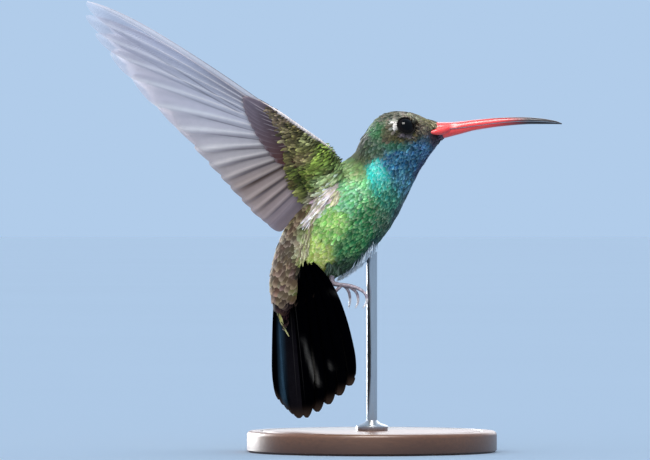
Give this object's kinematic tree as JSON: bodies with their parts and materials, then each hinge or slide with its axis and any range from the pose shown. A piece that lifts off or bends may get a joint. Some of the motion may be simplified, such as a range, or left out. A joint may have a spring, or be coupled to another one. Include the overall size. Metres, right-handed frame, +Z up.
{
  "type": "male broad-billed hummingbird model",
  "caption": "Life-size still model of a hovering hummingbird with raised wings, a long thin bill and a fanned tail, on a rod and a flat round base.",
  "frame": {"origin": "centre of the stand's underside, straight below the rod", "axes": "+Z up, +X the way the bill points, +Y to the bird's left"},
  "size_m": [0.0753, 0.0928, 0.0701],
  "materials": {
    "crown_feathers": "bronze-green feathers with a dull gloss",
    "throat_feathers": "iridescent deep blue feathers",
    "body_feathers": "iridescent green feathers",
    "wing_feathers": "thin grey flight feathers",
    "tail_feathers": "blue-black feathers with a soft gloss",
    "bill": "coral-red horn, dusky towards the tip",
    "eye": "wet and nearly black",
    "leg": "grey scaled skin",
    "stand_base": "dark satin wood",
    "stand_rod": "brushed"
  },
  "bodies": {
    "root": {"head": "crown_feathers", "neck": "throat_feathers", "torso": "body_feathers", "bill": "bill", "tail": "tail_feathers", "eye_left": "eye", "eye_right": "eye", "wing_left": "wing_feathers", "wing_right": "wing_feathers", "leg_left": "leg", "leg_right": "leg", "stand_base": "stand_base", "stand_rod": "stand_rod"}
  },
  "joints": []
}
